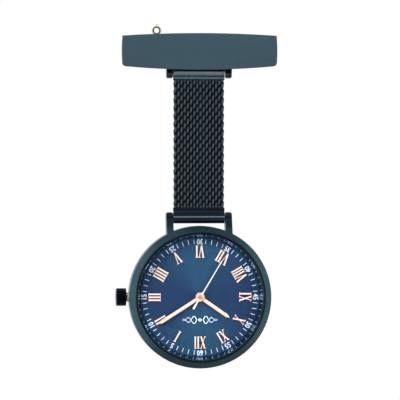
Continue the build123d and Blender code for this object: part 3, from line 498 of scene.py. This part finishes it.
# ------------------------------------------------------------------ finish of each node
polished_teal = ((0.060, 0.118, 0.150), (0.074, 0.142, 0.180))
brushed_teal = ((0.056, 0.112, 0.142), (0.076, 0.152, 0.190))
champagne = (0.56, 0.48, 0.39)
materials = {
    # The bar's near-black edge colour is painted shade along its edges.
    "bar": coated_polish("coated_steel_bar", (0.029, 0.057, 0.072), (0.031, 0.061, 0.078),
                         roughness=0.45, edge=(0.004, 0.007, 0.010), metallic=0.35),
    "coated": coated_polish("coated_steel_polished", *polished_teal, roughness=0.10),
    "mirror": coated_polish("coated_steel_mirror", (0.19, 0.28, 0.34), (0.22, 0.32, 0.38),
                            roughness=0.03),
    # The clamp bands are painted highlights and painted reflections, at heights set from each spring
    # bar.
    "upper_clamp": rolled_clamp("coated_steel_upper_clamp", (0.010, 0.017, 0.024), [
        (upper_bar_z - 1.25 * MM, upper_bar_z - 0.90 * MM, (0.200, 0.300, 0.320)),
        (upper_bar_z - 1.00 * MM, upper_bar_z - 0.15 * MM, (0.270, 0.390, 0.410)),
        (upper_bar_z - 2.00 * MM, upper_bar_z - 1.35 * MM, (0.190, 0.270, 0.340))]),
    "lower_clamp": rolled_clamp("coated_steel_lower_clamp", (0.012, 0.020, 0.030), [
        (lower_bar_z - 0.75 * MM, lower_bar_z - 0.05 * MM, (0.030, 0.060, 0.095)),
        (lower_bar_z + 0.08 * MM, lower_bar_z + 0.42 * MM, (0.300, 0.400, 0.440)),
        (lower_bar_z + 1.10 * MM, lower_bar_z + 1.80 * MM, (0.030, 0.052, 0.075))]),
    "crown": coated_polish("coated_steel_crown", (0.006, 0.018, 0.038), (0.010, 0.028, 0.056),
                           roughness=0.25, edge=(0.03, 0.06, 0.09)),
    "brushed": turned_brush("coated_steel_brushed", *brushed_teal),
    "case": turned_brush("coated_steel_case", *brushed_teal, lug_shade=0.55),
    "back": turned_brush("brushed_steel_back", (0.44, 0.45, 0.46), (0.54, 0.55, 0.56),
                         edge=(0.70, 0.70, 0.70)),
    "wire": wire_metal("coated_steel_mesh", (0.007, 0.013, 0.022), (0.011, 0.020, 0.033),
                       painted_crest_highlight=(0.108, 0.146, 0.162)),
    "steel": plain_metal("bare_steel", (0.50, 0.51, 0.51), (0.58, 0.58, 0.57),
                         roughness=0.30, grain=(250, 2500, 2500)),
    "polished_steel": plain_metal("polished_steel", (0.55, 0.56, 0.57), (0.66, 0.66, 0.66),
                                  roughness=0.12),
    "numeral": gilt("rose_numerals", (0.97, 0.72, 0.63), (0.34, 0.11, 0.05), 0.11 * MM),
    "hand": gilt("rose_hands", (0.97, 0.66, 0.50), (0.46, 0.17, 0.08), 0.18 * MM),
    "champagne": gilt("champagne_metal", champagne, (0.07, 0.05, 0.04), 0.22 * MM),
    "catch": catch_finish("champagne_catch", champagne, (0.018, 0.012, 0.010)),
    "second": second_hand_finish("white_second_hand"),
    "brass": plain_metal("wheel_brass", (0.66, 0.48, 0.20), (0.80, 0.62, 0.30),
                         roughness=0.3, grain=(5000, 600, 5000)),
    "magnet": plain_metal("magnet_black", (0.06, 0.06, 0.065), (0.12, 0.12, 0.13),
                          roughness=0.45),
    "dial": sunburst_dial("dial_lacquer"),
    "glass": clear_glass("mineral_glass"),
    "print": printed_ink("pale_print", (0.80, 0.88, 0.97), (0.60, 0.71, 0.84)),
    "rubber": moulded("seal_rubber", (0.012, 0.012, 0.012), (0.03, 0.03, 0.03), roughness=0.7),
    "plastic": moulded("movement_plastic", (0.70, 0.70, 0.67), (0.80, 0.80, 0.77), roughness=0.5),
    "board": moulded("board_laminate", (0.015, 0.10, 0.05), (0.03, 0.16, 0.08), roughness=0.4,
                     scale=6000),
    "copper": winding("copper_winding"),
}
finish_of_node = {
    "brooch_bar": "bar", "bar_lugs": "coated", "upper_end_clamp": "upper_clamp",
    "lower_end_clamp": "lower_clamp", "mid_case": "case", "bezel": "brushed", "crown": "crown",
    "case_back": "back", "rehaut_ring": "mirror", "crystal": "glass", "dial": "dial",
    "applied_numerals": "numeral", "hour_hand": "hand", "minute_hand": "hand",
    "second_hand": "second", "catch_rotor": "catch", "crown_tube": "champagne",
    "case_back_gasket": "rubber", "crystal_gasket": "rubber", "crown_gasket": "rubber",
    "movement_holder": "plastic", "circuit_board": "board", "coil": "copper",
    "step_rotor": "magnet", "battery": "polished_steel", "quartz_can": "polished_steel",
}
for name in ("seconds_wheel", "third_wheel", "centre_wheel", "minute_wheel", "hour_wheel",
             "setting_wheel", "fifth_wheel", "main_plate"):
    finish_of_node[name] = "brass"
for name, node in frame["nodes"].items():
    node.data.materials.clear()
    node.data.materials.append(materials[finish_of_node.get(name, "steel")])


# ------------------------------------------------------------------ mesh helpers
def finished_piece(name, mesh_data, material, smooth=True):
    """Make an object from bmesh data, with outward normals and one material."""
    bmesh.ops.recalc_face_normals(mesh_data, faces=mesh_data.faces)
    mesh = bpy.data.meshes.new(name)
    mesh_data.to_mesh(mesh)
    mesh_data.free()
    mesh.materials.append(material)
    for face in mesh.polygons:
        face.use_smooth = smooth
    piece = bpy.data.objects.new(name, mesh)
    bpy.context.scene.collection.objects.link(piece)
    return piece


def wire_along(mesh_data, centres, half_width, half_depth, sides):
    """Sweep a wire, pressed flatter from front to back, along points, with rounded ends."""
    count = len(centres)
    rings = []
    previous = None
    for index, centre in enumerate(centres):
        ahead = centres[min(index + 1, count - 1)] - centres[max(index - 1, 0)]
        ahead.normalize()
        if previous is None:
            side = ahead.cross(Vector((0, 1, 0)))
            if side.length < 0.1:
                side = ahead.cross(Vector((0, 0, 1)))
        else:
            side = previous - ahead * previous.dot(ahead)
        side.normalize()
        previous = side
        up = ahead.cross(side)
        from_end = min(index, count - 1 - index)
        shrink = (0.35, 0.8, 1.0)[min(from_end, 2)]
        ring = []
        for corner in range(sides):
            turn = 2 * math.pi * corner / sides
            offset = (side * math.cos(turn) + up * math.sin(turn)) * shrink
            pressed = Vector((offset.x * half_width, offset.y * half_depth,
                              offset.z * half_width))
            ring.append(mesh_data.verts.new(centre + pressed))
        rings.append(ring)
    for first, second in zip(rings[:-1], rings[1:]):
        for corner in range(sides):
            following = (corner + 1) % sides
            mesh_data.faces.new((first[corner], first[following],
                                 second[following], second[corner]))
    mesh_data.faces.new(rings[0][::-1])
    mesh_data.faces.new(rings[-1])


# ------------------------------------------------------------------ woven strap
section_count = len(flex_heights) + 1
coils_per_section = 4
half_section = coils_per_section // 2
last_coil = section_count * coils_per_section - 1
coil_spacing = section_height / coils_per_section
wire_half_width = 0.32 * MM
wire_half_depth = 0.28 * MM
coil_pitch = 1.465 * MM
coil_overrun = 0.3
coil_half_height = 0.9 * MM
coil_half_depth = strap_thickness / 2 - wire_half_depth
strand_steepness = 0.72
cross_half_depth = 0.13 * MM
cross_margin = 0.01 * MM
cross_taper = 0.1 * MM
points_per_turn = 22
wire_sides = 10
mesh_top = flex_heights[0] + section_height
mesh_bottom = flex_heights[-1] - section_height
end_inset = 0.1 * MM
end_half_height = 0.4 * MM


def coil_points(centre_z, half_height, start):
    """Centre line of one flattened coil across the strap, starting at a phase angle."""
    reach = strap_half_width - wire_half_width
    turns = 2 * reach / coil_pitch + coil_overrun
    steps = round(turns * points_per_turn)
    points = []
    for step in range(steps + 1):
        turn = 2 * math.pi * turns * (step / steps - 0.5)
        lean = strand_steepness * math.sin(2 * (turn + start)) / 2
        x = coil_pitch / (2 * math.pi) * (turn + lean)
        y = strap_y - coil_half_depth * math.sin(turn + start)
        z = centre_z - half_height * math.cos(turn + start)
        points.append(Vector((min(max(x, -reach), reach), y, z)))
    return points


def coil_height(index):
    """Height of a coil's middle, counted down from the upper clamp."""
    return mesh_top - (index + 0.5) * coil_spacing


def cross_wire_edge(index):
    """Height of a coil's middle, kept just inside the mouth of the clamp at either end."""
    return min(max(coil_height(index), mesh_bottom - end_inset), mesh_top + end_inset)


def cross_wire(mesh_data, top_z, low_z):
    """Flat straight wire threading the coils across the middle of the weave."""
    reach = strap_half_width - 2 * wire_half_width
    centre_z = (top_z + low_z) / 2
    points = [Vector((x, strap_y, centre_z))
              for x in (-reach, -reach + cross_taper, -reach + 2 * cross_taper, 0.0,
                        reach - 2 * cross_taper, reach - cross_taper, reach)]
    wire_along(mesh_data, points, (top_z - low_z) / 2 - cross_margin, cross_half_depth, wire_sides)


def coil_group(name, first, last):
    """Coils and cross wires in one mesh. Alternate coils are half a turn apart, and those before
    the first or after the last coil of the strap are the short ends gripped by the clamps."""
    mesh_data = bmesh.new()
    for index in range(first, last + 1):
        centre_z = coil_height(index)
        half_height = coil_half_height
        if index in (-1, last_coil + 1):
            centre_z = mesh_top - end_inset if index < 0 else mesh_bottom + end_inset
            half_height = end_half_height
        wire_along(mesh_data, coil_points(centre_z, half_height, math.pi * (index % 2)),
                   wire_half_width, wire_half_depth, wire_sides)
        if index <= last_coil:
            cross_wire(mesh_data, cross_wire_edge(index), cross_wire_edge(index + 1))
    piece = finished_piece(name, mesh_data, materials["wire"])
    straight = piece.data.attributes.new("straight_place", "FLOAT_VECTOR", "POINT")
    for vertex, stored in zip(piece.data.vertices, straight.data):
        stored.vector = vertex.co
    return piece


upper_coils = coil_group("strap_coils_1", -1, half_section - 1)
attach(upper_coils, "strap_1")
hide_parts("mesh_section_1")
for number, height in enumerate(flex_heights, start=1):
    first = number * coils_per_section - half_section
    coils = coil_group(f"strap_coils_{number + 1}", first, first + coils_per_section - 1)
    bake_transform(coils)
    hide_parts(f"mesh_section_{number + 1}")
lower_coils = coil_group(f"strap_coils_{section_count + 1}", last_coil - half_section + 1,
                         last_coil + 1)
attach(lower_coils, f"strap_{section_count}")

# ------------------------------------------------------------------ dial print
print_height = 0.02 * MM
track_inner = 12.4 * MM
track_outer = 13.4 * MM
tick_width = 0.12 * MM
number_radius = 12.9 * MM
number_size = 1.7 * MM
number_boldness = 0.025 * MM
number_narrowing = 0.84
weld_distance = 1e-7


def dial_point(angle, radius, across=0.0, lift=0.0):
    """Point on the dial at a clock angle, with twelve o'clock pointing down."""
    out = Vector((-math.sin(angle), 0, -math.cos(angle)))
    side = Vector((-math.cos(angle), 0, math.sin(angle)))
    return out * radius + side * across + Vector((0, dial_face_y - lift, 0))


def printed_patch(mesh_data, outline):
    """Thin raised patch of ink from four corners on the dial."""
    low = [mesh_data.verts.new(point) for point in outline]
    high = [mesh_data.verts.new(point - Vector((0, print_height, 0))) for point in outline]
    mesh_data.faces.new(low)
    mesh_data.faces.new(high[::-1])
    for corner in range(len(outline)):
        following = (corner + 1) % len(outline)
        mesh_data.faces.new((low[corner], low[following], high[following], high[corner]))


def minute_ticks():
    """A short line at each minute that has no number."""
    mesh_data = bmesh.new()
    for minute in range(60):
        if minute % 5 == 0:
            continue
        angle = math.radians(6 * minute)
        printed_patch(mesh_data, [dial_point(angle, track_inner, -tick_width / 2),
                                  dial_point(angle, track_inner, tick_width / 2),
                                  dial_point(angle, track_outer, tick_width / 2),
                                  dial_point(angle, track_outer, -tick_width / 2)])
    return finished_piece("minute_ticks", mesh_data, materials["print"], smooth=False)


def minute_numbers():
    """Plain numbers 5 to 60, upright outward on the lower half and inward on the upper half."""
    parts = []
    for minute in range(5, 61, 5):
        angle = math.radians(6 * minute)
        curve = bpy.data.curves.new(f"number_{minute}", "FONT")
        curve.body = str(minute)
        curve.size = number_size
        curve.offset = number_boldness
        curve.align_x = "CENTER"
        curve.align_y = "CENTER"
        curve.extrude = print_height / 2
        curve.resolution_u = 3
        holder = bpy.data.objects.new(f"number_{minute}", curve)
        bpy.context.scene.collection.objects.link(holder)
        inward = 20 <= minute <= 40
        out = Vector((-math.sin(angle), 0, -math.cos(angle)))
        up = -out if inward else out
        right = up.cross(Vector((0, -1, 0)))
        turn = Matrix((right * number_narrowing, up, Vector((0, -1, 0)))).transposed().to_4x4()
        place = dial_point(angle, number_radius, 0, print_height / 2)
        holder.matrix_world = Matrix.Translation(place) @ turn
        parts.append(holder)
    bpy.context.view_layer.update()
    mesh_data = bmesh.new()
    depsgraph = bpy.context.evaluated_depsgraph_get()
    for holder in parts:
        mesh = bpy.data.meshes.new_from_object(holder.evaluated_get(depsgraph))
        mesh.transform(holder.matrix_world)
        mesh_data.from_mesh(mesh)
        bpy.data.meshes.remove(mesh)
    for holder in parts:
        bpy.data.objects.remove(holder)
    bmesh.ops.remove_doubles(mesh_data, verts=mesh_data.verts, dist=weld_distance)
    return finished_piece("minute_numbers", mesh_data, materials["print"], smooth=False)


def inked_line(mesh_data, spots, widths):
    """Printed line through (across, outward) points in millimetres, with changing width."""
    left, right = [], []
    for index, spot in enumerate(spots):
        ahead = spots[min(index + 1, len(spots) - 1)] - spots[max(index - 1, 0)]
        side = Vector((-ahead.y, ahead.x)).normalized() * widths[index] / 2
        left.append(spot + side)
        right.append(spot - side)
    for index in range(len(spots) - 1):
        corners = (left[index], left[index + 1], right[index + 1], right[index])
        printed_patch(mesh_data, [Vector((corner.x * MM, dial_face_y, -corner.y * MM))
                                  for corner in corners])


def dial_ornament():
    """Plain woven braid that thins out on either side of a lozenge, in place of a signature."""
    mesh_data = bmesh.new()
    height = 5.3
    first_swing = 0.95
    braid_start = 0.75
    braid_length = 3.3
    thick, thin = 0.17, 0.07
    lozenge = ((-0.5, 0), (0, 0.42), (0.5, 0), (0, -0.42))
    printed_patch(mesh_data, [Vector((across * MM, dial_face_y, -(height + out) * MM))
                              for across, out in lozenge])
    steps = 36
    for side in (-1, 1):
        for strand in (-1, 1):
            spots = []
            widths = []
            for step in range(steps + 1):
                share = step / steps
                swing = first_swing * (1 - share) ** 0.6 * math.sin(2.5 * math.pi * share)
                spots.append(Vector((side * (braid_start + braid_length * share),
                                     height + strand * swing)))
                widths.append(thick + (thin - thick) * share)
            inked_line(mesh_data, spots, widths)
    return finished_piece("dial_ornament", mesh_data, materials["print"], smooth=False)


for piece in (minute_ticks(), minute_numbers(), dial_ornament()):
    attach(piece, "case")

# ------------------------------------------------------------------ smooth shading of CAD pieces
sharpest_smooth_edge = math.radians(28)
for node in frame["nodes"].values():
    for face in node.data.polygons:
        face.use_smooth = True
    node.data.set_sharp_from_angle(angle=sharpest_smooth_edge)


# ------------------------------------------------------------------ studio
floor_radius = 320 * MM
floor_drop = 35 * MM
lit_spot = Vector((0, 0, 20 * MM))


def studio_floor():
    """Pale round floor below the hanging watch."""
    mesh_data = bmesh.new()
    bmesh.ops.create_circle(mesh_data, cap_ends=True, segments=96, radius=floor_radius)
    s = Shader("pale_floor", roughness=0.8)
    grain = s.noise(s.place(), 400, 3)
    s.set(Base_Color=s.blend(s.spread(grain, 0.3, 0.7), (0.86, 0.86, 0.86), (0.9, 0.9, 0.9)))
    floor = finished_piece("floor", mesh_data, s.material, smooth=False)
    floor.location = (0, 0, cad_bounds[0][2] - floor_drop)
    floor.visible_glossy = False


def studio_world():
    """White behind the watch. Its metal reflects soft boxes at the sides and a dark front."""
    world = bpy.data.worlds.new("studio")
    bpy.context.scene.world = world
    world.use_nodes = True
    world.node_tree.nodes.clear()
    w = NodeTree(world.node_tree)
    x, y, z = w.split(w.add("ShaderNodeTexCoord").outputs["Generated"])
    # Degrees to the right of the camera side, and degrees up.
    bearing = w.math("MULTIPLY", w.math("ARCTAN2", x, w.math("MULTIPLY", y, -1)), 180 / math.pi)
    climb = w.math("MULTIPLY", w.math("ARCSINE", z), 180 / math.pi)

    def patch(colour, below, at, across, up, high, soft):
        """Soft-edged box of light: where it is and how far it reaches, in degrees."""
        side = w.math("ABSOLUTE", w.math("SUBTRACT", bearing, at))
        rise = w.math("ABSOLUTE", w.math("SUBTRACT", climb, up))
        share = w.math("MULTIPLY", w.spread(side, across + soft, across),
                       w.spread(rise, high + soft, high))
        return w.blend(share, below, colour)

    light = w.blend(w.spread(w.math("ABSOLUTE", bearing), 100, 150),
                    (0.22, 0.23, 0.24), (0.75, 0.76, 0.78))
    light = patch((0.80, 0.82, 0.84), light, at=-92, across=34, up=4, high=42, soft=16)
    light = patch((0.62, 0.66, 0.63), light, at=92, across=30, up=4, high=36, soft=16)
    light = patch((0.34, 0.35, 0.36), light, at=0, across=60, up=44, high=16, soft=8)
    light = patch((0.34, 0.28, 0.25), light, at=0, across=50, up=-34, high=9, soft=7)
    light = patch((0.02, 0.02, 0.02), light, at=0, across=40, up=0, high=16, soft=8)
    light = w.blend(w.spread(climb, 62, 78), light, (0.42, 0.44, 0.45))
    light = w.blend(w.spread(climb, -58, -74), light, (0.30, 0.27, 0.25))
    around = w.add("ShaderNodeBackground")
    w.link(light, around.inputs["Color"])
    seen = w.add("ShaderNodeBackground")
    seen.inputs["Color"].default_value = (1, 1, 1, 1)
    mix = w.add("ShaderNodeMixShader")
    w.link(w.add("ShaderNodeLightPath").outputs["Is Camera Ray"], mix.inputs["Fac"])
    w.link(around.outputs[0], mix.inputs[1])
    w.link(seen.outputs[0], mix.inputs[2])
    w.link(mix.outputs[0], w.add("ShaderNodeOutputWorld").inputs["Surface"])


def soft_light(name, place, size, power_watts):
    """Rectangular lamp turned towards the watch, unseen in its metal."""
    light = bpy.data.lights.new(name, "AREA")
    light.shape = "RECTANGLE"
    light.size = size[0]
    light.size_y = size[1]
    light.energy = power_watts
    holder = bpy.data.objects.new(name, light)
    holder.location = place
    holder.rotation_euler = (lit_spot - place).to_track_quat("-Z", "Y").to_euler()
    holder.visible_glossy = False
    bpy.context.scene.collection.objects.link(holder)


def long_lens_camera():
    """Long lens level with the watch and a little to its left."""
    camera = bpy.data.cameras.new("camera")
    camera.sensor_width = 36
    distance = 1.0
    frame_width = 93.0 * MM
    camera.lens = camera.sensor_width * distance / frame_width
    camera.clip_start = 0.01
    camera.clip_end = 10
    holder = bpy.data.objects.new("camera", camera)
    azimuth = math.radians(-5.0)
    elevation = math.radians(0.8)
    target = Vector((0.30 * MM, strap_y, 22.46 * MM))
    away = Vector((math.sin(azimuth) * math.cos(elevation),
                   -math.cos(azimuth) * math.cos(elevation), math.sin(elevation)))
    holder.location = target + away * distance
    holder.rotation_euler = (-away).to_track_quat("-Z", "Y").to_euler()
    bpy.context.scene.collection.objects.link(holder)
    bpy.context.scene.camera = holder


studio_floor()
studio_world()
soft_light("key", Vector((-0.35, -0.5, 0.45)), (0.35, 0.25), power_watts=9)
soft_light("fill", Vector((0.5, -0.45, 0.15)), (0.3, 0.4), power_watts=3)
soft_light("top", Vector((0.0, 0.05, 0.6)), (0.4, 0.3), power_watts=3)
long_lens_camera()
bpy.context.scene.view_settings.view_transform = "Standard"
